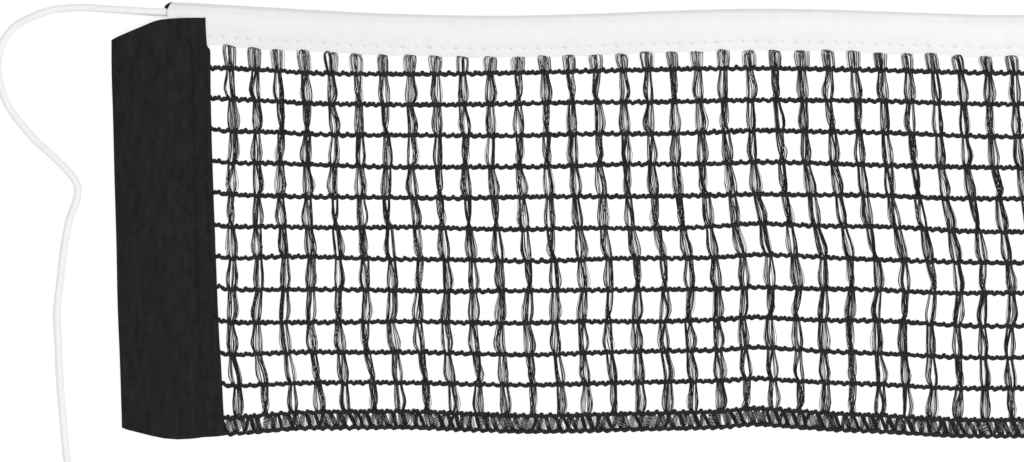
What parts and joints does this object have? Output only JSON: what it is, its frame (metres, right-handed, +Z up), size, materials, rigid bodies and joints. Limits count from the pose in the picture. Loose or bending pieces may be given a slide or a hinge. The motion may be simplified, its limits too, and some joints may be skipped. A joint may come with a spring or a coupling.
{
  "type": "table tennis net",
  "caption": "Table tennis net laid flat: knitted mesh on a folded white tape with a draw cord, and a cloth sleeve for the post at each end.",
  "frame": {"origin": "on the surface the net lies on, below the centre of the net without its free cord ends", "axes": "+X along the net towards the end with the short cord stub, +Y up the net's height towards the white tape, +Z up off the surface"},
  "size_m": [1.8906, 0.1832, 0.0086],
  "materials": {
    "mesh_yarn": "matt knitted polyester yarn",
    "sleeve_cloth": "plain woven black cloth",
    "tape_cloth": "white woven tape with a soft sheen",
    "cord": "white braided cord"
  },
  "bodies": {
    "net": {"chain_cords": "mesh_yarn", "looped_yarns": "mesh_yarn", "hem_upper_chain": "mesh_yarn", "hem_lower_chain": "mesh_yarn", "hem_band": "mesh_yarn", "top_tape": "tape_cloth", "left_sleeve": "sleeve_cloth", "right_sleeve": "sleeve_cloth"},
    "draw_cord": {"draw_cord": "cord", "cord_tail": "cord", "tail_knot": "cord", "cord_stub": "cord", "stop_knot": "cord"}
  },
  "joints": [
    {"name": "draw_cord_slide", "type": "slide", "parent": "net", "child": "draw_cord", "axis": [1, 0, 0], "range_m": [-0.008, 0.01]}
  ]
}
